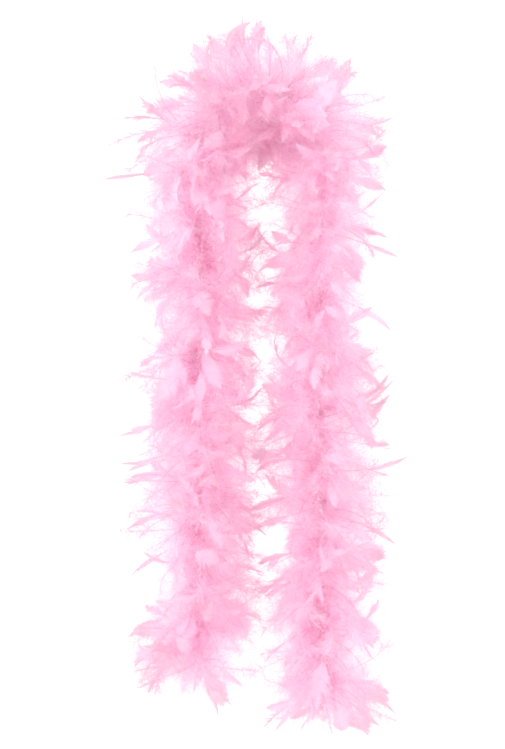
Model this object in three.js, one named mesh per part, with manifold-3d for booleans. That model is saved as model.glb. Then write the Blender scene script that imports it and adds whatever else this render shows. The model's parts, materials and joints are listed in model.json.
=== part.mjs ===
// A chandelle feather boa that hangs doubled over a peg, a hook or a neck.
// Millimetres, +Z up. The origin is the underside of the quill binding at the top of the arch, where
// the boa rests on what holds it. X runs across the two tails and Y runs through the boa's depth.
//
// The boa is one stitched core cord with a fringe of feathers wound round it. It bends anywhere, so
// the cord is divided into an arch and four links in each tail, with one bend between each two.
// Places along the cord are given by u, the length of cord from the top of the arch: negative down
// the left tail and positive down the right tail.
import * as THREE from 'three';
import { mergeVertices } from 'three/addons/utils/BufferGeometryUtils.js';
import Module from 'manifold-3d';

const wasm = await Module();
wasm.setup();

// Driving dimensions of the cord and its windings
const TURN_PITCH = 46.6;
const ARCH_TURNS = 6;
const TAIL_TURNS = { left: [4, 4, 4, 4], right: [4, 4, 4, 5] };
const ARCH_RADIUS = (ARCH_TURNS * TURN_PITCH) / Math.PI;
const CORE_RADIUS = 2;
const CORE_SIDES = 8;
const FIT_GAP = 0.3;
const BEND_GAP = 1.1;

// The binding: the stitched quill ends that wrap the cord
const BINDING_RADIUS = 4.5;
const BINDING_SIDES = 6;
const ARCH_STEPS_PER_TURN = 3;

// The feathers of one turn
const BLADES_PER_TURN = 7;
const OUTER_REACH = 86;
const INNER_REACH_TAIL = 76;
const INNER_REACH_ARCH = 30;
const FLANK_REACH = 98;
const NECK_CLEARANCE_TURNS = 1.5;
const BLADE_HALF_WIDTH = 17;
const BLADE_HALF_THICKNESS = 1.25;
const BLADE_TILT = THREE.MathUtils.degToRad(45);
const BLADE_DROOP = 24;
const BLADE_CURL = 7;
const ROOT_DEPTH = 3.3;
const BLADE_STAGGER = { evenTurn: 0.25, oddTurn: 0.75 };

// A feather's outline: [share of its half width, share of its length]
const BLADE_OUTLINE = [[0, 0], [0.3, 0.16], [1, 0.62], [0.66, 0.86], [0, 1]];
const BLADE_SIDES = 4;

// Every few feathers that point out of the boa, one stands clear of the others
const STRAY_EVERY = 5;
const STRAY_REACH = 132;
const STRAY_MIN_OUTWARD = 0.55;

// The tied ends
const WHIPPING_RADIUS = 5.5;
const WHIPPING_LENGTH = 7;
const KNOT_RADIUS = 5;
const KNOT_FLATTENING = 0.8;

const BLUSH = { color: 0xf9bfdc, roughness: 0.85, metalness: 0 };
const ROSE = { color: 0xe98fbb, roughness: 0.9, metalness: 0 };
const THREAD = { color: 0xf3a9cd, roughness: 0.7, metalness: 0 };

const ARCH_HALF = (ARCH_TURNS * TURN_PITCH) / 2;
const ARCH_CENTRE_Z = BINDING_RADIUS - ARCH_RADIUS;
const TO_THE_BACK = new THREE.Vector3(0, 1, 0);

// The cord at u: its point, its direction towards +u, and the way out of the arch
function coreFrame(u) {
  const side = Math.sign(u) || 1;
  const beyondArch = Math.max(0, Math.abs(u) - ARCH_HALF);
  const angle = side * Math.min(Math.abs(u) / ARCH_RADIUS, Math.PI / 2);
  const outward = new THREE.Vector3(Math.sin(angle), 0, Math.cos(angle));
  const along = new THREE.Vector3(Math.cos(angle), 0, -Math.sin(angle));
  const point = outward.clone().multiplyScalar(ARCH_RADIUS);
  point.z += ARCH_CENTRE_Z - beyondArch;
  return { point, along, outward };
}

class CoreStretch extends THREE.Curve {
  constructor(from, to) {
    super();
    this.from = from;
    this.to = to;
  }

  getPoint(t, target = new THREE.Vector3()) {
    return target.copy(coreFrame(THREE.MathUtils.lerp(this.from, this.to, t)).point);
  }
}

function polygon(radius, sides, Kind = THREE.Shape) {
  const corners = Array.from({ length: sides }, (_, k) => {
    const angle = (2 * Math.PI * k) / sides;
    return new THREE.Vector2(radius * Math.cos(angle), radius * Math.sin(angle));
  });
  return new Kind(corners);
}

function stretchSteps(from, to) {
  const archLength = Math.max(0, Math.min(to, ARCH_HALF) - Math.max(from, -ARCH_HALF));
  return Math.max(1, Math.round((ARCH_STEPS_PER_TURN * archLength) / TURN_PITCH));
}

function rodAlongCore(from, to, radius) {
  return new THREE.ExtrudeGeometry(polygon(radius, CORE_SIDES), {
    steps: stretchSteps(from, to),
    bevelEnabled: false,
    extrudePath: new CoreStretch(from, to),
  });
}

function sleeveAlongCore(from, to, outerRadius) {
  const section = polygon(outerRadius, BINDING_SIDES);
  const boreRadius = (CORE_RADIUS + FIT_GAP) / Math.cos(Math.PI / BINDING_SIDES);
  section.holes.push(polygon(boreRadius, BINDING_SIDES, THREE.Path));
  return new THREE.ExtrudeGeometry(section, {
    steps: stretchSteps(from, to),
    bevelEnabled: false,
    extrudePath: new CoreStretch(from, to),
  });
}

// How far the feather at u reaches in a direction: outward is 1 away from the arch and -1 into it
function bladeReach(u, outward, index) {
  const fromArch = Math.max(0, Math.abs(u) - ARCH_HALF) / TURN_PITCH;
  const opening = THREE.MathUtils.smoothstep(fromArch, 0, NECK_CLEARANCE_TURNS);
  const inner = THREE.MathUtils.lerp(INNER_REACH_ARCH, INNER_REACH_TAIL, opening);
  if (outward < 0) {
    return THREE.MathUtils.lerp(FLANK_REACH, inner, Math.sqrt(-outward));
  }
  if (outward > STRAY_MIN_OUTWARD && index % STRAY_EVERY === 0) {
    return STRAY_REACH;
  }
  return THREE.MathUtils.lerp(FLANK_REACH, OUTER_REACH, outward);
}

// A feather is a flattened spindle, widest past its middle, tilted like a stair and drooping
function bladeGeometry(u, index) {
  const { point, along, outward } = coreFrame(u);
  const around = (2 * Math.PI * u) / TURN_PITCH;
  const axis = outward.clone().multiplyScalar(Math.cos(around));
  axis.addScaledVector(TO_THE_BACK, Math.sin(around));
  const sideways = new THREE.Vector3().crossVectors(along, axis);
  const width = sideways.clone().multiplyScalar(Math.cos(BLADE_TILT));
  width.addScaledVector(along, Math.sin(BLADE_TILT));
  const thickness = new THREE.Vector3().crossVectors(width, axis);

  const reach = bladeReach(u, Math.cos(around), index);
  const length = reach - ROOT_DEPTH;
  const halfWidth = BLADE_HALF_WIDTH * Math.min(reach / FLANK_REACH, FLANK_REACH / reach);
  const outline = BLADE_OUTLINE.map(([across, out]) =>
    new THREE.Vector2(across * halfWidth, out * length));
  const blade = new THREE.LatheGeometry(outline, BLADE_SIDES);
  const places = blade.attributes.position;
  const flatten = BLADE_HALF_THICKNESS / halfWidth;
  const onTail = Math.abs(u) > ARCH_HALF;
  const droop = onTail ? BLADE_DROOP * Math.sign(u) : 0;
  const curl = BLADE_CURL * Math.cos(index);
  for (let k = 0; k < places.count; k += 1) {
    const out = places.getY(k);
    const bend = (out / length) ** 2;
    const vertex = point.clone().addScaledVector(axis, ROOT_DEPTH + out);
    vertex.addScaledVector(width, places.getX(k) + curl * bend);
    vertex.addScaledVector(thickness, places.getZ(k) * flatten);
    vertex.addScaledVector(along, droop * bend);
    places.setXYZ(k, vertex.x, vertex.y, vertex.z);
  }
  return blade;
}

// A closed mesh as a solid, with its faces out and no triangle without area
function toSolid(geometry) {
  const bare = geometry.index ? geometry.toNonIndexed() : geometry.clone();
  bare.deleteAttribute('normal');
  bare.deleteAttribute('uv');
  const merged = mergeVertices(bare);
  const corners = merged.index.array;
  const places = merged.attributes.position;
  const [a, b, c] = [new THREE.Vector3(), new THREE.Vector3(), new THREE.Vector3()];
  const kept = [];
  let volume = 0;
  for (let k = 0; k < corners.length; k += 3) {
    const [p, q, r] = corners.slice(k, k + 3);
    if (p !== q && q !== r && r !== p) {
      kept.push([p, q, r]);
      a.fromBufferAttribute(places, p);
      b.fromBufferAttribute(places, q);
      c.fromBufferAttribute(places, r);
      volume += a.dot(b.cross(c));
    }
  }
  const outFacing = volume > 0 ? kept : kept.map(([p, q, r]) => [p, r, q]);
  return new wasm.Manifold(new wasm.Mesh({
    numProp: 3,
    vertProperties: new Float32Array(places.array),
    triVerts: new Uint32Array(outFacing.flat()),
  }));
}

function toGeometry(solid) {
  const { vertProperties, triVerts } = solid.getMesh();
  const geometry = new THREE.BufferGeometry();
  geometry.setAttribute('position', new THREE.BufferAttribute(vertProperties, 3));
  geometry.setIndex(new THREE.BufferAttribute(triVerts, 1));
  geometry.computeVertexNormals();
  return geometry;
}

function namedMesh(name, geometry, finish) {
  const mesh = new THREE.Mesh(geometry, new THREE.MeshStandardMaterial(finish));
  mesh.name = name;
  return mesh;
}

function coreCord(name, from, to) {
  const rod = rodAlongCore(from + BEND_GAP, to - BEND_GAP, CORE_RADIUS);
  return namedMesh(name, toGeometry(toSolid(rod)), ROSE);
}

// One turn of feathers: its binding round the cord, with the feathers standing in a spiral
function featherTurn(name, turn) {
  const from = turn * TURN_PITCH;
  const binding = sleeveAlongCore(from + FIT_GAP / 2, from + TURN_PITCH - FIT_GAP / 2, BINDING_RADIUS);
  const stagger = turn % 2 === 0 ? BLADE_STAGGER.evenTurn : BLADE_STAGGER.oddTurn;
  let solid = toSolid(binding);
  for (let k = 0; k < BLADES_PER_TURN; k += 1) {
    const u = from + (TURN_PITCH * (k + stagger)) / BLADES_PER_TURN;
    solid = solid.add(toSolid(bladeGeometry(u, Math.abs(turn) * BLADES_PER_TURN + k)));
  }
  return namedMesh(name, toGeometry(solid), BLUSH);
}

// The links of one tail, from the top down, as stretches of turns counted from the top of the arch
function tailLinks(side) {
  let first = ARCH_TURNS / 2;
  return TAIL_TURNS[side].map((turns) => {
    const link = { first, turns };
    first += turns;
    return link;
  });
}

function tailEnd(side) {
  const { first, turns } = tailLinks(side).at(-1);
  return (first + turns) * TURN_PITCH;
}

function tailMeshes(side) {
  const sign = side === 'left' ? -1 : 1;
  return tailLinks(side).flatMap(({ first, turns }, link) => {
    const ends = [sign * first * TURN_PITCH, sign * (first + turns) * TURN_PITCH];
    const isLast = link === TAIL_TURNS[side].length - 1;
    const spare = isLast ? sign * WHIPPING_LENGTH : 0;
    const [from, to] = [ends[0], ends[1] + spare].sort((a, b) => a - b);
    const cord = coreCord(`core_cord_${side}_${link + 1}`, from, to);
    const feathers = Array.from({ length: turns }, (_, k) => {
      const turn = sign > 0 ? first + k : -(first + k + 1);
      return featherTurn(`feather_turn_${side}_${link + 1}_${k + 1}`, turn);
    });
    return [cord, ...feathers];
  });
}

function archMeshes() {
  const feathers = Array.from({ length: ARCH_TURNS }, (_, k) =>
    featherTurn(`feather_turn_arch_${k + 1}`, k - ARCH_TURNS / 2));
  return [coreCord('core_cord_arch', -ARCH_HALF, ARCH_HALF), ...feathers];
}

// The thread wound round the last quills, and the cord's own knot below it
function endTie(side) {
  const sign = side === 'left' ? -1 : 1;
  const start = tailEnd(side) + FIT_GAP;
  const stop = start + WHIPPING_LENGTH;
  const [from, to] = [sign * start, sign * stop].sort((a, b) => a - b);
  const whipping = sleeveAlongCore(from, to, WHIPPING_RADIUS);
  const knot = new THREE.SphereGeometry(KNOT_RADIUS, CORE_SIDES, CORE_SIDES / 2);
  knot.rotateX(Math.PI / 2);
  knot.scale(1, 1, KNOT_FLATTENING);
  const below = coreFrame(sign * (stop + FIT_GAP + KNOT_RADIUS * KNOT_FLATTENING)).point;
  knot.translate(below.x, below.y, below.z);
  return [
    namedMesh(`end_whipping_${side}`, toGeometry(toSolid(whipping)), THREAD),
    namedMesh(`end_knot_${side}`, toGeometry(toSolid(knot)), ROSE),
  ];
}

const boa = new THREE.Group();
boa.name = 'feather_boa';
boa.add(...archMeshes());
for (const side of Object.keys(TAIL_TURNS)) {
  boa.add(...tailMeshes(side), ...endTie(side));
}

export default boa;
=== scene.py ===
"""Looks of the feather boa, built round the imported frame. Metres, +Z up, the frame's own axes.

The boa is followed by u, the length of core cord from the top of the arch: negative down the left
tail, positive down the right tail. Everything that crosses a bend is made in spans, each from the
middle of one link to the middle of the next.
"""
import json
import math

import bpy
import numpy as np
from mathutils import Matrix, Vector


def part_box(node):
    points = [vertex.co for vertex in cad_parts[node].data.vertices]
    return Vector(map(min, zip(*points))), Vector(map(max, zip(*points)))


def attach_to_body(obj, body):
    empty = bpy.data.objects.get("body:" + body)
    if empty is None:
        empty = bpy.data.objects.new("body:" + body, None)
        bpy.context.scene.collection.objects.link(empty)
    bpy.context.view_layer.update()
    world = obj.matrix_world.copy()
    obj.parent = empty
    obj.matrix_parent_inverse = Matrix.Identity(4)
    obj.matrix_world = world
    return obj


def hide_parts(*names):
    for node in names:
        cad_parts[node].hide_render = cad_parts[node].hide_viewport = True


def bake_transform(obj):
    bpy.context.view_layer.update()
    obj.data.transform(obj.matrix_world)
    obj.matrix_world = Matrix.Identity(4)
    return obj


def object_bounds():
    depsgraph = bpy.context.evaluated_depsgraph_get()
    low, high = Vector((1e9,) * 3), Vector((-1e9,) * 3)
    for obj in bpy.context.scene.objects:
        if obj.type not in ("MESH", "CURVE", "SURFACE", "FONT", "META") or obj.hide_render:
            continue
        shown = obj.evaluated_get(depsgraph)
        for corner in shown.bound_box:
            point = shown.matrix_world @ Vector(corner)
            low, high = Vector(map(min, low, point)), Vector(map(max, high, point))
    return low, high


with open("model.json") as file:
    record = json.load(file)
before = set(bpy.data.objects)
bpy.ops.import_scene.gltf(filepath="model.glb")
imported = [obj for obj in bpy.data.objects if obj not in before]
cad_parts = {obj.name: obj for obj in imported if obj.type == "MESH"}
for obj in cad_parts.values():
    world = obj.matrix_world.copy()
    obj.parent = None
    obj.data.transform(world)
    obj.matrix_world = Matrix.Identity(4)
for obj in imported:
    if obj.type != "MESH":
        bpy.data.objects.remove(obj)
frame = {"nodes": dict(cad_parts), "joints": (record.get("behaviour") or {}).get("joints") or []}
cad_low, cad_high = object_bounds()
RANDOM = np.random.default_rng(20)
BACK = np.array([0.0, 1.0, 0.0])
DOWNWARD = np.array([0.0, 0.0, -1.0])

# How far along the cord the top of the arch and the end of a tail have their own ways, and how far
# above its real end the cord is taken to stop where the feathers are coloured by their distance to it.
TOP_SPREAD = 0.10
END_SPREAD = 0.06
THIN_END = 0.025

# ---------------------------------------------------------------- the cord's path, from the frame
HINGES = {joint["name"]: joint for joint in frame["joints"]}
SIDES = {"left": -1.0, "right": 1.0}
BODY_OF_LINK = {side: ["arch"] + [j["child"] for j in frame["joints"] if j["name"].startswith(side)]
                for side in SIDES}
HINGE_DEPTHS = {side: [-j["pos_m"][2] for j in frame["joints"] if j["name"].startswith(side)]
                for side in SIDES}
ARCH_RADIUS = HINGES["right_bend_1_sideways"]["pos_m"][0]
ARCH_CENTRE_Z = -HINGE_DEPTHS["right"][0]
ARCH_HALF = ARCH_RADIUS * math.pi / 2
TAIL_END = {side: ARCH_HALF + ARCH_CENTRE_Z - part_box(f"end_whipping_{side}")[1][2] for side in SIDES}
TAIL_BREAKS = {side: [ARCH_HALF + depth + ARCH_CENTRE_Z for depth in HINGE_DEPTHS[side]]
               for side in SIDES}


def core_frame(u):
    """Points, directions towards +u and outward directions of the cord at the lengths u."""
    u = np.atleast_1d(np.asarray(u, float))
    side = np.where(u < 0, -1.0, 1.0)
    beyond = np.maximum(0.0, np.abs(u) - ARCH_HALF)
    angle = side * np.minimum(np.abs(u), ARCH_HALF) / ARCH_RADIUS
    nothing = np.zeros_like(angle)
    outward = np.stack([np.sin(angle), nothing, np.cos(angle)], -1)
    along = np.stack([np.cos(angle), nothing, -np.sin(angle)], -1)
    point = outward * ARCH_RADIUS
    point[:, 2] += ARCH_CENTRE_Z - beyond
    return point, along, outward


def distance_from_core(points):
    """How far each point is from the cord, taken to stop a little short, as the boa thins out there."""
    x, y, z = points.T
    in_plane = np.hypot(x, z - ARCH_CENTRE_Z) - ARCH_RADIUS
    end_z = np.where(x < 0, *(ARCH_CENTRE_Z + ARCH_HALF - TAIL_END[side] for side in SIDES))
    beside = np.hypot(np.abs(x) - ARCH_RADIUS, np.maximum(0.0, end_z + THIN_END - z))
    return np.hypot(np.where(z > ARCH_CENTRE_Z, in_plane, beside), y)


def near_top(u):
    """1 at the top of the arch, down to 0 along the tails."""
    return np.exp(-(u / TOP_SPREAD) ** 2)


def near_end(u):
    """1 at the end of a tail, down to 0 further up."""
    end = np.where(u < 0, TAIL_END["left"], TAIL_END["right"])
    return np.exp(-((end - np.abs(u)) / END_SPREAD) ** 2)


# ---------------------------------------------------------------- spans of the boa
def make_spans():
    """The spans as dicts: name, from and to in u, the body or two bodies, and on the tails start and stop
    in u.
    """
    spans = [{"name": "arch", "low": -ARCH_HALF / 2, "high": ARCH_HALF / 2, "bodies": ["arch"]}]
    for side, sign in SIDES.items():
        breaks = [0.0] + TAIL_BREAKS[side] + [TAIL_END[side]]
        middles = [(a + b) / 2 for a, b in zip(breaks, breaks[1:])]
        middles[0] = ARCH_HALF / 2
        cuts = middles + [TAIL_END[side]]
        for k, (start, stop) in enumerate(zip(cuts, cuts[1:])):
            bodies = BODY_OF_LINK[side][k:k + 2]
            name = f"{side}_bend_{k + 1}" if len(bodies) == 2 else f"{side}_end"
            low, high = sorted((sign * start, sign * stop))
            spans.append({"name": name, "low": low, "high": high, "bodies": bodies,
                          "start": sign * start, "stop": sign * stop})
    return spans


def count_turns(stretch):
    """How many CAD feather turns a stretch of the boa has."""
    return sum(node.startswith(f"feather_turn_{stretch}_") for node in frame["nodes"])


def turn_places():
    """Each CAD feather turn with the place of its middle along the cord."""
    places = {}
    for node in frame["nodes"]:
        if node.startswith("feather_turn"):
            words = node.split("_")
            turn = int(words[-1]) - 0.5
            if words[2] == "arch":
                places[node] = (2 * turn / count_turns("arch") - 1) * ARCH_HALF
            else:
                side, link = words[2], int(words[3])
                breaks = TAIL_BREAKS[side] + [TAIL_END[side]]
                share = turn / count_turns(f"{side}_{link}")
                start, stop = breaks[link - 1], breaks[link]
                places[node] = SIDES[side] * (start + share * (stop - start))
    return places


CORE_NODE_OF_SPAN = {"arch": "core_cord_arch"} | {
    f"{side}_bend_{k}": f"core_cord_{side}_{k}"
    for side in SIDES for k in range(1, len(BODY_OF_LINK[side]))}
SPANS = make_spans()
TURNS = turn_places()


def attach(piece, span):
    """Makes a piece move with its span's body where the span has one; a piece on two bodies is left fixed
    where it stands.
    """
    if len(span["bodies"]) == 1:
        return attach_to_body(piece, span["bodies"][0])
    start, stop = (tuple(core_frame(span[end])[0][0]) for end in ("start", "stop"))
    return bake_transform(piece)


# ---------------------------------------------------------------- meshes from arrays
class Batch:
    """Vertices, faces and per-vertex values gathered for one mesh."""

    def __init__(self):
        self.points, self.faces, self.values, self.count = [], [], [], 0

    def add(self, points, faces, **values):
        """Adds points and faces. Each value is one number for all the points, or one for each."""
        self.points.append(points)
        self.faces.append(faces + self.count)
        self.values.append(values)
        self.count += len(points)

    def build(self, name, material, slot, span):
        """The batch as one mesh object, made to move with its span's body where the span has just one."""
        points = np.concatenate(self.points)
        faces = np.concatenate(self.faces)
        mesh = bpy.data.meshes.new(name)
        mesh.vertices.add(len(points))
        mesh.vertices.foreach_set("co", points.astype(np.float32).ravel())
        mesh.loops.add(faces.size)
        mesh.loops.foreach_set("vertex_index", faces.astype(np.int32).ravel())
        mesh.polygons.add(len(faces))
        starts = np.arange(len(faces), dtype=np.int32) * faces.shape[1]
        mesh.polygons.foreach_set("loop_start", starts)
        mesh.update(calc_edges=True)
        mesh.shade_smooth()
        for key in self.values[0]:
            data = np.concatenate([np.broadcast_to(v[key], len(p))
                                   for v, p in zip(self.values, self.points)])
            attribute = mesh.attributes.new(key, "FLOAT", "POINT")
            attribute.data.foreach_set("value", data.astype(np.float32))
        mesh.materials.append(material)
        piece = bpy.data.objects.new(name, mesh)
        bpy.context.collection.objects.link(piece)
        attach(piece, span)
        return piece


# ---------------------------------------------------------------- one feather
# A feather is made flat, in x across it, s along its rachis from 0 to 1, and z off its face, and is
# then bent along its rachis. Its upper part is a closed vane and its lower part is loose down, apart
# from the feathers that are all down. Lengths are in metres and angles in degrees unless they say
# otherwise. Shares are of the feather's length or of a barb's.

# The vane: barbs in a few locks, with slits between the locks, and a fine hair off each barb
BARBS_A_SIDE = 28
LINE_SHARES = np.array([0.0, 0.34, 0.60])
MOST_LOCKS = 4
SLIT_SHARES = (0.008, 0.035)
SLIT_BARBS = 1.6
LOCK_LIFT = 0.0025
LIFT_POWER = 1.5
BARB_FOLD = 0.0004
TIP_SHARES = (0.92, 1.15)
TIP_LIFT = 0.0015
VANE_SWEEP = 0.15
VANE_TOP = 0.985
SWELL_START = 0.2
TIP_CROWDING = 0.85
BARB_CURVE = 1.25
RUFFLE_HEIGHT = 0.0025
RUFFLE_RADIANS = 9.0
HAIR_BASE = 0.14
HAIR_SHARES = (0.35, 0.80)
HAIR_LIFT = 0.003

# The down: loose barbs, longest near the quill, with barbules on their outer part
DOWN_STATIONS = 5
DOWN_START = 0.03
DOWN_CROWDING = 1.05
DOWN_LENGTHS = (0.016, 0.042)
DOWN_AT_QUILL = 1.15
DOWN_SHORTENING = 0.62
DOWN_SLANTS = (25, 88)
SLANT_AT_QUILL = 1.1
SLANT_SHORTENING = 0.4
DOWN_LIFT = 42
DOWN_HALF_WIDTHS = (0.00026, 0.00007)
DOWN_DROOP = 0.008
RIPPLE_HEIGHT = 0.0014
RIPPLE_HALF_WAVES = 2.2
BARBULES_A_BARB = 5
BARBULE_LENGTHS = (0.0022, 0.0048)
BARBULE_HALF_BASE = 0.00011
BARBULE_FORWARD = 0.7
BARBULE_SCATTER = 0.75
FIRST_BARBULE = 0.8
LAST_BARBULE = DOWN_STATIONS - 1.001

# The shaft
RACHIS_STATIONS = 9
RACHIS_SIDES = 3
RACHIS_END = 0.97
RACHIS_RADIUS = 0.0006
RACHIS_TIP_RADIUS = 0.0001
RACHIS_TAPER = 0.8
RACHIS_UNDER = -0.0002
CURVE_STEPS = 28
CURL_POWER = 1.5
SWAY_POWER = 1.2


def vane_side(side, shape, rnd):
    """One web of the vane: smooth locks of barbs, parted here and there, with loose fine tips."""
    n = BARBS_A_SIDE
    locks = rnd.integers(1, MOST_LOCKS + 1)
    cuts = np.sort(rnd.choice(np.arange(2, n - 2), locks - 1, replace=False))
    ends = np.concatenate([[0], cuts, [n]])
    lines = np.concatenate([np.arange(a, b + 1) for a, b in zip(ends, ends[1:])])
    lock = np.repeat(np.arange(locks), np.diff(ends) + 1)
    barb = np.arange(n)
    low = barb + np.searchsorted(cuts, barb, side="right")
    pushed_up = np.exp(-(lines - ends[lock]) / SLIT_BARBS) * (lock > 0)
    pushed_down = np.exp(-(ends[lock + 1] - lines) / SLIT_BARBS) * (lock < locks - 1)
    parting = rnd.uniform(*SLIT_SHARES, locks)[lock] * (pushed_up - pushed_down)
    lift = rnd.normal(0, LOCK_LIFT, locks)[lock]
    fold = rnd.normal(0, BARB_FOLD, len(lines))
    t = lines / n
    share = np.broadcast_to(LINE_SHARES, (len(lines), len(LINE_SHARES)))
    tip_t = (barb + 0.5) / n
    tip_share = rnd.uniform(*TIP_SHARES, n)
    phase = rnd.uniform(0, 2 * np.pi)
    start = shape["vane_start"]

    def place(t, f, parting, lift, fold):
        """Where the point is that's t of the way up the vane and f of the way out along its barb."""
        wave = np.sin(np.pi * (SWELL_START + (1 - SWELL_START) * np.minimum(t, VANE_TOP)))
        swell = wave ** shape["point"]
        root_s = start + (VANE_TOP - start) * t
        outer_s = start + VANE_SWEEP + (1.0 - start - VANE_SWEEP) * t ** TIP_CROWDING
        x = side * shape["half_width"] * swell * f
        s = root_s + (outer_s - root_s) * f ** BARB_CURVE + parting * f ** 2
        ruffle = RUFFLE_HEIGHT * np.sin(phase + RUFFLE_RADIANS * t) * f ** 2
        return x, s, (lift * f ** LIFT_POWER + fold * f + ruffle) * swell

    grid = place(t[:, None], share, parting[:, None], lift[:, None], fold[:, None])
    tips = place(tip_t, tip_share, parting[low], lift[low], rnd.normal(0, TIP_LIFT, n))
    at_end = np.array([0.0, 0.0, 1.0])
    hair_t = tip_t[:, None] + np.array([-HAIR_BASE, HAIR_BASE, 0.0]) / n
    hair_share = LINE_SHARES[-1] + at_end * rnd.uniform(*HAIR_SHARES, (n, 1))
    hair_lift = rnd.normal(0, HAIR_LIFT, (n, 1)) * at_end
    hair = place(hair_t, hair_share, parting[low][:, None], lift[low][:, None], hair_lift)
    width = len(LINE_SHARES)
    a = (low * width)[:, None] + np.arange(width - 1)
    b = a + width
    cells = np.concatenate([np.stack([a, b, b + 1], -1), np.stack([a, b + 1, a + 1], -1)], 1)
    last = low * width + width - 1
    points = np.stack([last, last + width, len(lines) * width + barb], -1)
    hair_faces = len(lines) * width + n + np.arange(3 * n).reshape(-1, 3)
    faces = np.concatenate([cells.reshape(-1, 3), points, hair_faces])
    x, s, z = (np.concatenate([g.ravel(), p, h.ravel()]) for g, p, h in zip(grid, tips, hair))
    strand = np.concatenate([np.repeat(t, width), tip_t, np.repeat(tip_t, 3)])
    out = np.concatenate([share.ravel(), np.ones(4 * n)])
    return x, s, z, faces, strand, out


def vane(shape, rnd):
    """The closed upper part of a feather, with both its webs."""
    left, right = (vane_side(side, shape, rnd) for side in (-1.0, 1.0))
    x, s, z, _, strand, out = (np.concatenate([a, b]) for a, b in zip(left, right))
    faces = np.concatenate([left[3], right[3] + len(left[0])])
    return x, s, z + shape["cup"] * x ** 2 / shape["half_width"], faces, strand, out


def edges(middle, half):
    """A ribbon's two edges, in turn, along each of its rows."""
    return np.stack([middle - half, middle + half], -1).reshape(len(middle), -1)


def down(shape, rnd):
    """The loose soft barbs that stand off on every side, as ribbons, with their barbules."""
    n, length = shape["down_barbs"], shape["length"]
    side = np.where(np.arange(n) % 2 == 0, -1.0, 1.0)
    root = DOWN_START + (shape["down_reach"] - DOWN_START) * rnd.uniform(0, 1, n) ** DOWN_CROWDING
    size = (rnd.uniform(*DOWN_LENGTHS, n) * (DOWN_AT_QUILL - DOWN_SHORTENING * root))[:, None]
    slant = np.radians(rnd.uniform(*DOWN_SLANTS, n))
    slant = (slant * (SLANT_AT_QUILL - SLANT_SHORTENING * root))[:, None]
    lift = np.radians(rnd.normal(0, DOWN_LIFT, n))[:, None]
    share = np.linspace(0, 1, DOWN_STATIONS)
    width = np.linspace(*DOWN_HALF_WIDTHS, DOWN_STATIONS)
    droop = rnd.normal(0.0, DOWN_DROOP, (n, 1))
    sway = rnd.normal(0.0, DOWN_DROOP, (n, 1))
    wave = rnd.uniform(0, 2 * np.pi, (n, 1))
    ripple = RIPPLE_HEIGHT * np.sin(RIPPLE_HALF_WAVES * np.pi * share + wave) * share
    x = side[:, None] * size * np.sin(slant) * np.cos(lift) * share
    y = root[:, None] * length + size * np.cos(slant) * share + sway * share ** 2 + ripple
    z = size * np.sin(lift) * share + droop * share ** 2 + ripple
    turn = rnd.uniform(0, np.pi, (n, 1))
    strand = rnd.uniform(0, 1, n)
    xs, ys, zs = edges(x, 0.0), edges(y, np.cos(turn) * width), edges(z, np.sin(turn) * width)
    first = (np.arange(n) * 2 * DOWN_STATIONS)[:, None, None]
    k = 2 * np.arange(DOWN_STATIONS - 1)
    cells = np.concatenate([np.stack([k, k + 1, k + 3], -1), np.stack([k, k + 3, k + 2], -1)])
    faces = (first + cells[None]).reshape(-1, 3)
    hair, hair_faces = barbules(np.stack([x, y, z], -1), rnd)
    points = np.concatenate([np.stack([xs.ravel(), ys.ravel(), zs.ravel()], -1), hair])
    faces = np.concatenate([faces, hair_faces + xs.size])
    out = np.concatenate([np.tile(np.repeat(share, 2), n), np.ones(len(hair))])
    strand = np.concatenate([np.repeat(strand, 2 * DOWN_STATIONS),
                             np.repeat(strand, 3 * BARBULES_A_BARB)])
    return points[:, 0], points[:, 1] / length, points[:, 2], faces, strand, out


def barbules(barbs, rnd):
    """Fine short hairs that stand off the outer part of each loose barb."""
    count = (len(barbs), BARBULES_A_BARB)
    place = rnd.uniform(FIRST_BARBULE, LAST_BARBULE, count)
    low = place.astype(int)
    part = (place - low)[..., None]
    row = np.arange(len(barbs))[:, None]
    root = barbs[row, low] * (1 - part) + barbs[row, low + 1] * part
    along = barbs[row, low + 1] - barbs[row, low]
    along /= np.linalg.norm(along, axis=-1, keepdims=True)
    reach = along * BARBULE_FORWARD + rnd.normal(0, BARBULE_SCATTER, along.shape)
    reach *= rnd.uniform(*BARBULE_LENGTHS, (*count, 1))
    base = along * BARBULE_HALF_BASE
    points = np.stack([root - base, root + base, root + reach], 2).reshape(-1, 3)
    return points, np.arange(len(points)).reshape(-1, 3)


def tube(path, beside, radius, sides):
    """A round tube with closed ends along a path. beside is a direction that isn't along the path."""
    ahead = np.gradient(path, axis=0)
    ahead /= np.linalg.norm(ahead, axis=-1, keepdims=True)
    first = beside - ahead * np.sum(beside * ahead, -1, keepdims=True)
    first /= np.linalg.norm(first, axis=-1, keepdims=True)
    second = np.cross(ahead, first)
    angle = 2 * np.pi * np.arange(sides) / sides
    ring = np.cos(angle)[:, None] * first[:, None, :] + np.sin(angle)[:, None] * second[:, None, :]
    radius = np.broadcast_to(radius, len(path))[:, None, None]
    points = (path[:, None, :] + ring * radius).reshape(-1, 3)
    return np.concatenate([points, path[:1], path[-1:]]), tube_faces(len(path), sides)


def tube_faces(rings, sides):
    """Triangles of a tube's wall and of its two ends, whose middle points come last."""
    start = np.arange(rings - 1)[:, None] * sides
    a = np.arange(sides)
    b = (a + 1) % sides
    wall = [np.stack([start + a, start + b, start + sides + b], -1).reshape(-1, 3),
            np.stack([start + a, start + sides + b, start + sides + a], -1).reshape(-1, 3)]
    middle, last = rings * sides, (rings - 1) * sides
    ends = [np.stack([b, a, np.full(sides, middle)], -1),
            np.stack([last + a, last + b, np.full(sides, middle + 1)], -1)]
    return np.concatenate(wall + ends)


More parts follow.
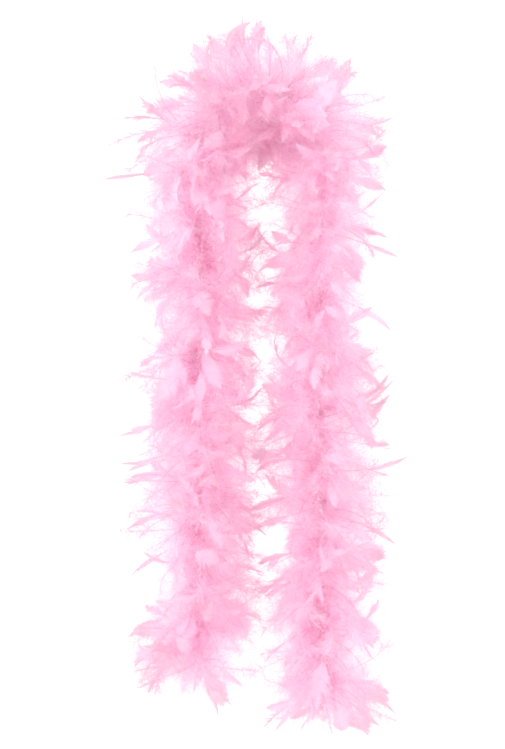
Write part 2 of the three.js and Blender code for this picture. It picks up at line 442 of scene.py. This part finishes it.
def rachis():
    """The shaft: a thin tapered rod just under the vane."""
    s = np.linspace(0.0, RACHIS_END, RACHIS_STATIONS)
    radius = (RACHIS_RADIUS * (1 - s) ** RACHIS_TAPER + RACHIS_TIP_RADIUS)[:, None]
    angle = 2 * np.pi * np.arange(RACHIS_SIDES) / RACHIS_SIDES
    x = np.append(radius * np.cos(angle), (0.0, 0.0))
    z = np.append(radius * np.sin(angle), (0.0, 0.0)) + RACHIS_UNDER
    s = np.append(np.repeat(s, RACHIS_SIDES), (s[0], s[-1]))
    return x, s, z, tube_faces(RACHIS_STATIONS, RACHIS_SIDES)


def bent_frames(length, curl, sway, twist):
    """Points and axes along a rachis that curls off its face, sways sideways and twists."""
    s = np.linspace(0, 1, CURVE_STEPS)
    off = curl * s ** CURL_POWER
    aside = sway * s ** SWAY_POWER
    forward = np.stack([np.sin(aside), np.cos(aside) * np.cos(off), np.cos(aside) * np.sin(off)], -1)
    steps = (forward[1:] + forward[:-1]) / 2 * length / (CURVE_STEPS - 1)
    centre = np.concatenate([np.zeros((1, 3)), np.cumsum(steps, 0)])
    normal = np.stack([np.zeros_like(off), -np.sin(off), np.cos(off)], -1)
    normal -= forward * np.sum(normal * forward, -1, keepdims=True)
    normal /= np.linalg.norm(normal, axis=-1, keepdims=True)
    across = np.cross(forward, normal)
    turn = (twist * s)[:, None]
    return (centre, across * np.cos(turn) + normal * np.sin(turn),
            normal * np.cos(turn) - across * np.sin(turn), forward)


def bend(x, s, z, frames, length):
    """The flat feather's points, carried to the bent rachis. Past its ends it runs straight on."""
    place = np.clip(s, 0, 1) * (CURVE_STEPS - 1)
    low = np.minimum(place.astype(int), CURVE_STEPS - 2)
    part = (place - low)[:, None]
    centre, across, normal, forward = (a[low] * (1 - part) + a[low + 1] * part for a in frames)
    beyond = (s - np.clip(s, 0, 1))[:, None] * length
    return centre + across * x[:, None] + normal * z[:, None] + forward * beyond


# ---------------------------------------------------------------- the boa's feathers
# How densely the feathers stand, how many more at the top of the arch, and how far they favour the
# arch's outside and the boa's front and back
FEATHERS_PER_METRE = 760
DENSITY_STEPS = 60
TOP_EXTRA = 0.75
TOP_OUTWARD = 0.25
FRONT_EXTRA = 0.25

# How they stand, in degrees: the mean angle to the way the cord falls, with what the top and the ends
# add, and the spread of that angle and of the turn about the feather's own shaft
LEAN = 67
LEAN_AT_TOP = 19
LEAN_AT_END = 14
LEAN_SPREAD = 20
ROLL_SPREAD = 50
CURL_LESS_AT_TOP = 0.55
CURL_LESS_AT_END = 0.45
FALLS_WITH_CORD = 0.84
CREST_HALF = 0.06

CUP = (0.1, 0.22)
SWAY_SPREAD = 30
TWIST_SPREAD = 22

ROOT_RADIUS = 0.0030
QUILL_LENGTH = 0.009
QUILL_RADIUS = 0.0007
QUILL_SIDES = 5
QUILL_STATIONS = 3
FULL_DEPTH = 0.098
EDGE_SOFTNESS = 0.03
STANDS_PROUD = {"across": 0.021, "depth": 0.012, "below": 0.030}

# Where the boa is fuller or thinner than usual: places along the cord, and how much longer the
# feathers are there on the side away from the other tail, and on the side towards it.
SWELL_SPREAD = 0.030
OUTER_SWELLS = {-0.850: 0.15, -0.730: -0.18, -0.640: 0.18, -0.560: 0.14, -0.380: -0.12, -0.110: 0.25,
                0.110: 0.08, 0.320: -0.20, 0.400: -0.05, 0.560: 0.20, 0.615: -0.18, 0.660: 0.12,
                0.760: -0.08, 0.880: 0.15}
INNER_SWELLS = {-0.850: -0.20, -0.655: 0.25, -0.540: 0.25, -0.455: -0.12, -0.350: 0.20, -0.265: 0.28,
                -0.180: -0.25, 0.000: 0.15, 0.180: -0.15, 0.265: 0.25, 0.345: 0.20, 0.400: -0.22,
                0.540: 0.22, 0.655: 0.22, 0.800: 0.10}


def fullness(u, azimuth):
    """How much longer than usual the feathers are at u, on the side that azimuth points to."""
    gain = 1.0
    for swells, facing in ((OUTER_SWELLS, math.cos(azimuth)), (INNER_SWELLS, -math.cos(azimuth))):
        for place, more in swells.items():
            gain += more * math.exp(-((u - place) / SWELL_SPREAD) ** 2) * max(0.0, facing)
    return gain


def eased(values, edge):
    """Values over the edge, in either direction, brought back so that none passes it."""
    start = edge - EDGE_SOFTNESS
    over = np.maximum(np.abs(values) - start, 0.0)
    held = np.sign(values) * (start + EDGE_SOFTNESS * np.tanh(over / EDGE_SOFTNESS))
    return np.where(over > 0, held, values)


def kept_in(points):
    """Points that reach too far from the boa, eased back to its edge."""
    points[:, 0] = eased(points[:, 0], cad_high.x + STANDS_PROUD["across"])
    points[:, 1] = eased(points[:, 1], cad_high.y + STANDS_PROUD["depth"])
    points[:, 2] = eased(points[:, 2], STANDS_PROUD["below"] - cad_low.z)
    return points


# Each kind: its share of all feathers, the ranges of its half width and length, the mean and spread of
# its curl in degrees, how pointed its vane is, where the vane starts, how many loose barbs it has, how
# far up they go, and whether it's all down, with no vane.
KINDS = [
    {"share": 0.44, "half_width": (0.003, 0.006), "length": (0.083, 0.115), "curl": (-50, 42), "point": 1.0,
     "vane_start": (0.5, 0.6), "down_barbs": 190, "down_reach": 0.97, "all_down": True},
    {"share": 0.28, "half_width": (0.006, 0.011), "length": (0.084, 0.108), "curl": (-60, 40), "point": 1.2,
     "vane_start": (0.36, 0.55), "down_barbs": 100, "down_reach": 0.88, "all_down": False},
    {"share": 0.17, "half_width": (0.012, 0.019), "length": (0.085, 0.108), "curl": (-62, 40), "point": 1.0,
     "vane_start": (0.34, 0.50), "down_barbs": 110, "down_reach": 0.90, "all_down": False},
    {"share": 0.11, "half_width": (0.003, 0.006), "length": (0.086, 0.111), "curl": (-70, 80), "point": 1.6,
     "vane_start": (0.40, 0.55), "down_barbs": 100, "down_reach": 0.75, "all_down": False},
]


def feather_shape(rnd):
    """A random feather of a random kind."""
    kind = KINDS[rnd.choice(len(KINDS), p=[kind["share"] for kind in KINDS])]
    return {"half_width": rnd.uniform(*kind["half_width"]), "length": rnd.uniform(*kind["length"]),
            "curl": math.radians(rnd.normal(*kind["curl"])), "vane_start": rnd.uniform(*kind["vane_start"]),
            "point": kind["point"], "cup": rnd.normal(*CUP),
            "sway": math.radians(rnd.normal(0, SWAY_SPREAD)),
            "twist": math.radians(rnd.normal(0, TWIST_SPREAD)), "down_barbs": kind["down_barbs"],
            "down_reach": kind["down_reach"], "all_down": kind["all_down"]}


def feather_axes(outward, falling, azimuth, lean, roll):
    """A feather's across, forward and normal axes. It leaves the cord at an angle of lean to falling."""
    radial = math.cos(azimuth) * outward + math.sin(azimuth) * BACK
    along = falling - radial * (falling @ radial)
    along /= np.linalg.norm(along)
    forward = math.cos(lean) * along + math.sin(lean) * radial
    normal = math.cos(lean) * radial - math.sin(lean) * along
    across = np.cross(forward, normal)
    across, normal = (across * math.cos(roll) + normal * math.sin(roll),
                      normal * math.cos(roll) - across * math.sin(roll))
    return radial, np.stack([across, forward, normal])


def add_feather(batches, root, axes, radial, upstream, shape, rnd):
    """Adds one feather's vane, down, shaft and bound quill to their batches."""
    frames = bent_frames(shape["length"], shape["curl"], shape["sway"], shape["twist"])
    tone = rnd.uniform()

    def placed(x, s, z):
        """The flat feather's points where they belong, and how deep in the boa each one is."""
        where = kept_in(root + bend(x, s, z, frames, shape["length"]) @ axes)
        return where, distance_from_core(where) / FULL_DEPTH

    if not shape["all_down"]:
        x, s, z, faces, strand, out = vane(shape, rnd)
        where, depth = placed(x, s, z)
        batches["plumes"].add(where, faces, strand=strand, out=out, tone=tone, depth=depth)
    x, s, z, faces, strand, out = down(shape, rnd)
    where, depth = placed(x, s, z)
    loose = batches["fluff" if shape["all_down"] else "down"]
    loose.add(where, faces, strand=strand, out=out, tone=tone, depth=depth)
    x, s, z, faces = rachis()
    where, depth = placed(x, s, z)
    batches["shafts"].add(where, faces, tone=tone, depth=depth)
    quill = root + upstream * np.linspace(QUILL_LENGTH, 0.0, QUILL_STATIONS)[:, None]
    where, faces = tube(quill, radial, QUILL_RADIUS, QUILL_SIDES)
    batches["shafts"].add(where, faces, tone=tone, depth=0.0)


def places_along(span, rnd):
    """Where a span's feathers are bound to the cord. They are closer together at the top of the arch."""
    u = np.linspace(span["low"], span["high"], DENSITY_STEPS)
    density = FEATHERS_PER_METRE * (1 + TOP_EXTRA * near_top(u))
    total = np.concatenate([[0.0], np.cumsum((density[1:] + density[:-1]) / 2 * np.diff(u))])
    count = int(total[-1])
    return np.interp((np.arange(count) + rnd.uniform(0, 1, count)) * total[-1] / count, total, u)


def plant(span, rnd):
    """All the feathers of one span, as batches for vanes, two sorts of down, and shafts."""
    batches = {name: Batch() for name in ("plumes", "fluff", "down", "shafts")}
    places = places_along(span, rnd)
    points, alongs, outwards = core_frame(places)
    for u, point, along, outward in zip(places, points, alongs, outwards):
        falls_on = rnd.uniform() < 0.5 + 0.5 * np.clip(u / CREST_HALF, -1, 1)
        keeps_on = rnd.uniform() < FALLS_WITH_CORD
        downstream = along if falls_on == keeps_on else -along
        top, end = near_top(u), near_end(u)
        azimuth = rnd.uniform(0, 2 * np.pi)
        azimuth += FRONT_EXTRA / 2 * math.sin(2 * azimuth) - TOP_OUTWARD * top * math.sin(azimuth)
        raised = top * abs(math.cos(azimuth))
        hangs = top * math.sin(azimuth) ** 2
        lean = np.radians(rnd.normal(LEAN + LEAN_AT_TOP * raised + LEAN_AT_END * end, LEAN_SPREAD))
        roll = np.radians(rnd.normal(0, ROLL_SPREAD))
        falling = downstream * (1 - hangs) + DOWNWARD * hangs
        radial, axes = feather_axes(outward, falling, azimuth, lean, roll)
        shape = feather_shape(rnd)
        shape["length"] *= fullness(u, azimuth)
        shape["curl"] *= 1 - CURL_LESS_AT_TOP * raised - CURL_LESS_AT_END * end
        add_feather(batches, point + radial * ROOT_RADIUS, axes, radial, -downstream, shape, rnd)
    for stray in STRAYS:
        if span["low"] <= stray[0] < span["high"]:
            add_stray(batches, stray, rnd)
    return batches


# The feathers that stand out by themselves. Each row: place along the cord, azimuth round it in
# degrees (0 away from the other tail, 180 towards it, -90 to the front), lean from the way down the
# cord, length, half width, and how far it bends back, or on if negative.
STRAYS = [
    (-0.165, 0, 88, 0.148, 0.0035, -8),
    (-0.124, -15, 108, 0.116, 0.0050, 20),
    (-0.122, 10, 117, 0.112, 0.0040, -10),
    (-0.245, -10, 74, 0.108, 0.0080, -15),
    (-0.300, 5, 72, 0.112, 0.0060, -30),
    (-0.520, 0, 78, 0.120, 0.0040, -12),
    (-0.565, -20, 80, 0.118, 0.0060, -20),
    (-0.575, 10, 76, 0.120, 0.0030, 15),
    (-0.650, 0, 82, 0.110, 0.0050, -25),
    (-0.700, -10, 75, 0.112, 0.0040, -30),
    (-0.800, 5, 78, 0.112, 0.0080, -25),
    (-0.868, -10, 62, 0.100, 0.0110, 95),
    (-0.036, -20, 80, 0.128, 0.0110, 105),
    (-0.012, 0, 88, 0.112, 0.0030, 6),
    (-0.008, 10, 96, 0.108, 0.0025, -6),
    (0.026, -10, 86, 0.128, 0.0050, 130),
    (0.120, 0, 92, 0.112, 0.0050, 15),
    (0.150, -15, 84, 0.100, 0.0090, 40),
    (0.232, 0, 76, 0.106, 0.0060, -25),
    (0.252, 10, 76, 0.122, 0.0040, -10),
    (0.346, -10, 78, 0.116, 0.0050, -35),
    (0.430, 0, 76, 0.112, 0.0060, -45),
    (0.480, -20, 80, 0.100, 0.0080, -60),
    (0.522, 0, 104, 0.126, 0.0050, 45),
    (0.534, -10, 110, 0.130, 0.0030, 30),
    (0.546, 10, 98, 0.124, 0.0060, 50),
    (0.598, 0, 84, 0.132, 0.0050, 25),
    (0.662, -10, 80, 0.122, 0.0040, -20),
    (0.690, 0, 72, 0.104, 0.0070, -40),
    (0.905, 0, 82, 0.122, 0.0040, -20),
    (-0.875, 160, 28, 0.090, 0.0040, -20),
    (-0.870, -120, 35, 0.095, 0.0050, 15),
    (0.895, 175, 42, 0.112, 0.0050, -15),
    (0.905, -130, 24, 0.086, 0.0040, 20),
    (0.910, -60, 18, 0.082, 0.0030, -15),
    (0.898, 0, 45, 0.118, 0.0055, -10),
]
STRAY_ROLL = (75, 20)
STRAY_CURL_SPREAD = 20
STRAY_TWIST_SPREAD = 25
STRAY_CUP = 0.3
STRAY_POINT = 1.6
STRAY_VANE_START = 0.42
STRAY_DOWN_BARBS = 70
STRAY_DOWN_REACH = 0.55


def add_stray(batches, stray, rnd):
    """One of the listed feathers."""
    u, azimuth, lean, length, half_width, bends = stray
    points, alongs, outwards = core_frame(u)
    downstream = alongs[0] * math.copysign(1.0, u)
    roll = math.radians(rnd.normal(*STRAY_ROLL))
    radial, axes = feather_axes(outwards[0], downstream, math.radians(azimuth), math.radians(lean), roll)
    shape = {"half_width": half_width, "length": length, "sway": math.radians(bends),
             "point": STRAY_POINT, "vane_start": STRAY_VANE_START, "cup": STRAY_CUP,
             "curl": math.radians(rnd.normal(0, STRAY_CURL_SPREAD)),
             "twist": math.radians(rnd.normal(0, STRAY_TWIST_SPREAD)), "down_barbs": STRAY_DOWN_BARBS,
             "down_reach": STRAY_DOWN_REACH, "all_down": False}
    add_feather(batches, points[0] + radial * ROOT_RADIUS, axes, radial, -downstream, shape, rnd)


# ---------------------------------------------------------------- cord, thread, whippings and knots
PLIES = 2
PLY_RADIUS = 0.00098
PLY_PITCH = 0.011
PLY_SIDES = 8
PLY_STEPS_A_TURN = 12
THREAD_RADIUS = 0.00028
THREAD_WRAP = 0.0040
THREAD_PITCH = 0.0045
THREAD_SIDES = 5
THREAD_STEPS_A_TURN = 16
WHIPPING_TURNS = 10
WHIPPING_SIDES = 48
WHIPPING_STEPS = 80
WHIPPING_RIDGE = 0.00035
WHIPPING_ROUNDING = 0.25
ROUNDING_POWER = 6
KNOT_STEPS = 120
KNOT_CORD = 0.0011


def helix(low, high, radius, pitch, phase, steps_a_turn):
    """A helix round the core cord, and its directions away from the cord."""
    u = np.linspace(low, high, int((high - low) / pitch * steps_a_turn) + 2)
    point, _, outward = core_frame(u)
    angle = (2 * np.pi * u / pitch + phase)[:, None]
    radial = np.cos(angle) * outward + np.sin(angle) * BACK
    return point + radial * radius, radial


def cord_reach(span):
    """Where a span's cord starts and stops: at a tail's end it goes on through the whipping to the knot."""
    low, high = span["low"], span["high"]
    if span["name"].endswith("_end"):
        side = span["name"].split("_")[0]
        knot_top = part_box(f"end_knot_{side}")[1][2]
        tip = ARCH_HALF + ARCH_CENTRE_Z - knot_top
        low, high = (low, tip) if side == "right" else (-tip, high)
    return low, high


def core_cord(span):
    """The twisted cotton cord that all the quills are bound to."""
    batch = Batch()
    low, high = cord_reach(span)
    for ply in range(PLIES):
        path, radial = helix(low, high, PLY_RADIUS, PLY_PITCH, 2 * np.pi * ply / PLIES, PLY_STEPS_A_TURN)
        points, faces = tube(path, radial, PLY_RADIUS, PLY_SIDES)
        batch.add(points, faces, ply=ply)
    return batch.build(f"cord_{span['name']}", COTTON, "core_cotton", span)


def binding_thread(span):
    """The thread that winds round the cord and holds the quills to it."""
    batch = Batch()
    path, radial = helix(span["low"], span["high"], THREAD_WRAP, THREAD_PITCH, 0.0, THREAD_STEPS_A_TURN)
    points, faces = tube(path, radial, THREAD_RADIUS, THREAD_SIDES)
    batch.add(points, faces, ply=0)
    return batch.build(f"thread_{span['name']}", THREAD, "stitching_thread", span)


def end_span(side):
    """The body that a tail's end belongs to, as a span."""
    return {"bodies": BODY_OF_LINK[side][-1:]}


def whipping(side):
    """Close turns of thread round the cord's end, as a barrel with a ridge for each turn."""
    low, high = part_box(f"end_whipping_{side}")
    share = np.linspace(0, 1, WHIPPING_STEPS)
    angle = 2 * np.pi * np.arange(WHIPPING_SIDES) / WHIPPING_SIDES
    wide = (high[0] - low[0]) / 2 - WHIPPING_RIDGE
    wave = np.abs(np.sin(np.pi * WHIPPING_TURNS * share[:, None] + angle / 2))
    rounded = wide * WHIPPING_ROUNDING * np.abs(2 * share[:, None] - 1) ** ROUNDING_POWER
    radius = wide + WHIPPING_RIDGE * wave - rounded
    x = (low[0] + high[0]) / 2 + radius * np.cos(angle)
    y = (low[1] + high[1]) / 2 + radius * np.sin(angle)
    z = np.broadcast_to(low[2] + share[:, None] * (high[2] - low[2]), x.shape)
    points = np.stack([x, y, z], -1).reshape(-1, 3)
    centre = [[(low[0] + high[0]) / 2, (low[1] + high[1]) / 2, z] for z in (low[2], high[2])]
    batch = Batch()
    batch.add(np.concatenate([points, centre]), tube_faces(WHIPPING_STEPS, WHIPPING_SIDES), ply=0)
    piece = batch.build(f"whipping_{side}", THREAD, "stitching_thread", end_span(side))
    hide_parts(f"end_whipping_{side}")


def knot(side):
    """The overhand knot at the cord's end: a strand that passes over and under itself three times."""
    low, high = (np.array(corner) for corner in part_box(f"end_knot_{side}"))
    t = np.linspace(0, 2 * np.pi, KNOT_STEPS)
    path = np.stack([np.sin(t) + 2 * np.sin(2 * t), np.sin(3 * t), np.cos(t) - 2 * np.cos(2 * t)], -1)
    reach = np.max(np.abs(path), axis=0)
    path = (low + high) / 2 + path / reach * ((high - low) / 2 - KNOT_CORD)
    batch = Batch()
    points, faces = tube(path, path - (low + high) / 2 + 1e-6, KNOT_CORD, PLY_SIDES)
    batch.add(points, faces, ply=0)
    piece = batch.build(f"knot_{side}", COTTON, "core_cotton", end_span(side))
    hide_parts(f"end_knot_{side}")


# ---------------------------------------------------------------- materials
def node_material(name):
    """A new material with its node tree, its shader and its output."""
    material = bpy.data.materials.new(name)
    material.use_nodes = True
    tree = material.node_tree
    return material, tree, tree.nodes["Principled BSDF"], tree.nodes["Material Output"]


def attribute(tree, name):
    """A value that each vertex carries."""
    node = tree.nodes.new("ShaderNodeAttribute")
    node.attribute_name = name
    return node.outputs["Fac"]


def maths(tree, operation, first, second):
    """The result of a sum on two values, each a number or another node's output."""
    node = tree.nodes.new("ShaderNodeMath")
    node.operation = operation
    for socket, value in zip(node.inputs, (first, second)):
        if isinstance(value, (int, float)):
            socket.default_value = value
        else:
            tree.links.new(value, socket)
    return node.outputs["Value"]


def shifted(tree, value, spread):
    """A 0 to 1 value as an even shift to both sides of nothing."""
    return maths(tree, "MULTIPLY", maths(tree, "SUBTRACT", value, 0.5), spread)


def ramp(tree, value, stops):
    """The colour that a value has between the stops, which are places and their colours."""
    node = tree.nodes.new("ShaderNodeValToRGB")
    tree.links.new(value, node.inputs["Fac"])
    for k, (place, colour) in enumerate(stops):
        stop = node.color_ramp.elements[k] if k < 2 else node.color_ramp.elements.new(place)
        stop.position = place
        stop.color = (*colour, 1.0)
    return node.outputs["Color"]


def streaks(tree):
    """Light and dark lines that follow the barbs, different on each feather, from 0 to 1."""
    noise = tree.nodes.new("ShaderNodeTexNoise")
    noise.noise_dimensions = "1D"
    along_vane = maths(tree, "MULTIPLY", attribute(tree, "strand"), STREAKS_A_VANE)
    apart = maths(tree, "MULTIPLY", attribute(tree, "tone"), STREAKS_APART)
    place = maths(tree, "ADD", along_vane, apart)
    tree.links.new(place, noise.inputs["W"])
    noise.inputs["Scale"].default_value = 1.0
    noise.inputs["Detail"].default_value = 2.0
    return noise.outputs["Fac"]


def bump(tree, shader, height, strength, distance):
    """Makes a shader's surface look raised where the height is."""
    node = tree.nodes.new("ShaderNodeBump")
    node.inputs["Strength"].default_value = strength
    node.inputs["Distance"].default_value = distance
    tree.links.new(height, node.inputs["Height"])
    tree.links.new(node.outputs["Normal"], shader.inputs["Normal"])


def barb_tones(tree):
    """A value from 0 to 1 that each loose barb has to itself."""
    return attribute(tree, "strand")


def soft_feather(name, stops, through, lines_of=None, groove=0.0):
    """A thin feather surface: matt pink with light coming through it, in lines and perhaps grooved, its
    colour taken from a ramp by depth in the boa that holds painted shade.
    """
    material, tree, shader, out = node_material(name)
    # Depth in the boa picks the colour, whose deep pink near the cord and greyer pink outside are painted
    # shade
    value = attribute(tree, "depth")
    value = maths(tree, "ADD", value, shifted(tree, attribute(tree, "tone"), TONE_SPREAD))
    if lines_of:
        lines = lines_of(tree)
        value = maths(tree, "ADD", value, shifted(tree, attribute(tree, "out"), OUT_SPREAD))
        value = maths(tree, "ADD", value, shifted(tree, lines, LINE_SPREAD))
    if groove:
        bump(tree, shader, lines, groove, GROOVE_DEPTH)
    colour = ramp(tree, value, stops)
    tree.links.new(colour, shader.inputs["Base Color"])
    shader.inputs["Roughness"].default_value = 0.75
    shader.inputs["Specular IOR Level"].default_value = 0.2
    shader.inputs["Sheen Weight"].default_value = 0.15
    back = tree.nodes.new("ShaderNodeBsdfTranslucent")
    tree.links.new(colour, back.inputs["Color"])
    mix = tree.nodes.new("ShaderNodeMixShader")
    mix.inputs["Fac"].default_value = through
    tree.links.new(shader.outputs["BSDF"], mix.inputs[1])
    tree.links.new(back.outputs["BSDF"], mix.inputs[2])
    tree.links.new(mix.outputs["Shader"], out.inputs["Surface"])
    return material


def spun_fibre(name, dark, light, scale, roughness, sheen):
    """Cotton or thread: fine fibres in the colour and in the surface."""
    material, tree, shader, _ = node_material(name)
    noise = tree.nodes.new("ShaderNodeTexNoise")
    noise.inputs["Scale"].default_value = scale
    noise.inputs["Detail"].default_value = 4.0
    place = tree.nodes.new("ShaderNodeTexCoord")
    tree.links.new(place.outputs["Object"], noise.inputs["Vector"])
    colour = ramp(tree, noise.outputs["Fac"], [(0.3, dark), (0.7, light)])
    tree.links.new(colour, shader.inputs["Base Color"])
    bump(tree, shader, noise.outputs["Fac"], 0.5, 0.0002)
    shader.inputs["Roughness"].default_value = roughness
    shader.inputs["Sheen Weight"].default_value = sheen
    return material


def linear(red, green, blue):
    """A colour of 0 to 255 as the linear light values that Blender uses."""
    return tuple(((c / 255 + 0.055) / 1.055) ** 2.4 for c in (red, green, blue))


# How far each feather's tone, its barbs' lines and the way out along them shift its colour, as shares of
# the ramps below, which run from the cord out to the full depth of the boa. The ramps' pale middles are the
# feathers' own pink. The deeper pink at the cord is painted shade in the recesses there, and the greyer
# pink towards the outside is painted shade on the outer fibres.
STREAKS_A_VANE = 26.0
STREAKS_APART = 300.0
LINE_SPREAD = 0.24
GROOVE_DEPTH = 0.0006
TONE_SPREAD = 0.26
OUT_SPREAD = 0.12
# Painted shade: the deeper pink at depth 0 and the greyer pink from 0.78 out; the pale stops between are
# the feathers' own pink
VANE_COLOURS_AND_PAINTED_SHADE = [(0.00, linear(255, 190, 228)), (0.20, linear(255, 235, 247)),
                (0.50, linear(254, 235, 246)), (0.78, linear(253, 224, 238)), (1.00, linear(239, 207, 221))]
DOWN_COLOURS_AND_PAINTED_SHADE = [(0.00, linear(255, 189, 228)), (0.20, linear(255, 239, 250)),
                (0.50, linear(254, 240, 249)), (0.78, linear(253, 226, 240)), (1.00, linear(232, 199, 214))]
# The shafts' deeper pink at the cord and greyer pink further out are painted shade
SHAFT_COLOURS_AND_PAINTED_SHADE = [(0.10, linear(240, 178, 206)), (0.80, linear(230, 194, 209))]
PLUME = soft_feather("plume_pink", VANE_COLOURS_AND_PAINTED_SHADE, 0.6, lines_of=streaks, groove=0.35)
DOWN = soft_feather("down_pink", DOWN_COLOURS_AND_PAINTED_SHADE, 0.55, lines_of=barb_tones)
SHAFT = soft_feather("shaft_pink", SHAFT_COLOURS_AND_PAINTED_SHADE, 0.15)
COTTON = spun_fibre("pink_cotton", linear(236, 150, 192), linear(250, 196, 222), 1600.0, 0.92, 0.3)
THREAD = spun_fibre("pink_thread", linear(240, 130, 180), linear(250, 175, 208), 2400.0, 0.55, 0.1)
FEATHER_MATERIALS = {"plumes": PLUME, "fluff": DOWN, "down": DOWN, "shafts": SHAFT}


def build_span(span):
    """A span's feathers, cord and thread, which replace the CAD turns and the CAD cord there."""
    nodes = [node for node, u in TURNS.items() if span["low"] <= u <= span["high"]]
    batches = plant(span, RANDOM)
    pieces = {name: batches[name].build(f"{name}_{span['name']}", material, "feather_fringe", span)
              for name, material in FEATHER_MATERIALS.items()}
    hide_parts(*nodes)
    cord = core_cord(span)
    if span["name"] in CORE_NODE_OF_SPAN:
        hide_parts(CORE_NODE_OF_SPAN[span["name"]])
    binding_thread(span)


# ---------------------------------------------------------------- stage, light and camera
FLOOR_DROP = 0.25
FLOOR_HALF = 6.0
SKY_STRENGTH = 1.2
CAMERA_PLACE = (-0.011, -4.0, -0.405)
CAMERA_LENS = 132.6
LIGHTS_AIM = (0, 0, -0.4)
MOST_BOUNCES = 24
DIFFUSE_BOUNCES = 16


def world_light():
    """An even white sky."""
    world = bpy.data.worlds.new("studio")
    bpy.context.scene.world = world
    world.use_nodes = True
    background = world.node_tree.nodes["Background"]
    background.inputs["Color"].default_value = (1.0, 1.0, 1.0, 1.0)
    background.inputs["Strength"].default_value = SKY_STRENGTH


def floor():
    """A pale floor well below the boa, which hangs."""
    mesh = bpy.data.meshes.new("floor")
    z = cad_low.z - FLOOR_DROP
    corners = [(x * FLOOR_HALF, y * FLOOR_HALF, z) for x, y in ((-1, -1), (1, -1), (1, 1), (-1, 1))]
    mesh.from_pydata(corners, [], [(0, 1, 2, 3)])
    material, _, shader, _ = node_material("floor")
    shader.inputs["Base Color"].default_value = (0.92, 0.92, 0.92, 1.0)
    shader.inputs["Roughness"].default_value = 0.9
    mesh.materials.append(material)
    plane = bpy.data.objects.new("floor", mesh)
    bpy.context.collection.objects.link(plane)


def area_light(name, place, size, watts):
    """A soft square lamp that points at the middle of the boa."""
    data = bpy.data.lights.new(name, "AREA")
    data.size = size
    data.energy = watts
    light = bpy.data.objects.new(name, data)
    bpy.context.collection.objects.link(light)
    light.location = place
    light.rotation_euler = (Vector(LIGHTS_AIM) - Vector(place)).to_track_quat("-Z", "Y").to_euler()


def camera():
    """The camera, level and square to the front."""
    data = bpy.data.cameras.new("camera")
    data.lens = CAMERA_LENS
    data.sensor_width = 36
    data.clip_end = 50
    cam = bpy.data.objects.new("camera", data)
    bpy.context.collection.objects.link(cam)
    cam.location = CAMERA_PLACE
    cam.rotation_euler = (math.radians(90), 0, 0)
    bpy.context.scene.camera = cam


def light_paths():
    """Light goes on bouncing between pale feathers, so it's followed further than usual."""
    cycles = bpy.context.scene.cycles
    cycles.max_bounces = MOST_BOUNCES
    cycles.diffuse_bounces = DIFFUSE_BOUNCES
    cycles.transmission_bounces = MOST_BOUNCES


camera()
world_light()
floor()
light_paths()
area_light("key", (-1.2, -2.2, 1.4), 1.6, 20)
area_light("fill", (0.3, -2.8, -0.3), 2.0, 18)
bpy.context.scene.view_settings.view_transform = "Standard"

for span in SPANS:
    build_span(span)

for side in SIDES:
    whipping(side)
    knot(side)
